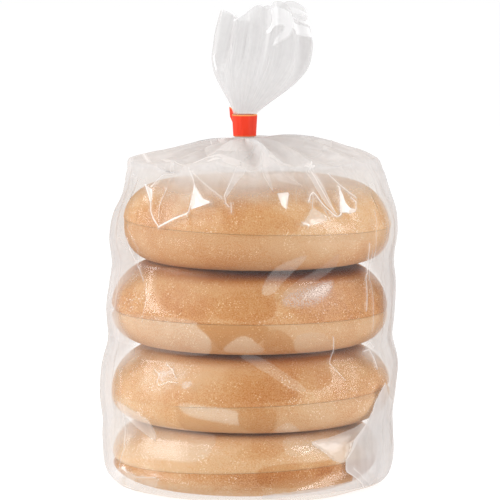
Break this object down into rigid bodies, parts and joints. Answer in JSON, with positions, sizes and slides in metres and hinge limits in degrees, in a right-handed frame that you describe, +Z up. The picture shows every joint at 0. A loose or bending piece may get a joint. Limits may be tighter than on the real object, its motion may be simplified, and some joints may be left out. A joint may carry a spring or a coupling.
{
  "type": "pack of bagels",
  "caption": "Clear film bag of stacked sliced bagels, standing on its flat base, gathered at the top and tied with a band of tape under a flared, ruffled mouth.",
  "frame": {"origin": "middle of the flat base, on the surface that the pack stands on", "axes": "+Z up through the stack to the tied neck, -Y towards the front that the picture shows, +X to that view's right"},
  "size_m": [0.1268, 0.1177, 0.2058],
  "materials": {
    "clear_film": "soft clear film, slightly hazy, creased, with bright lines on its folds",
    "neck_tape": "satin red adhesive tape",
    "bagel_crust": "smooth matt baked skin, golden brown on top and pale below"
  },
  "bodies": {
    "root": {"bag": "clear_film", "neck_tape": "neck_tape"}
  },
  "joints": []
}
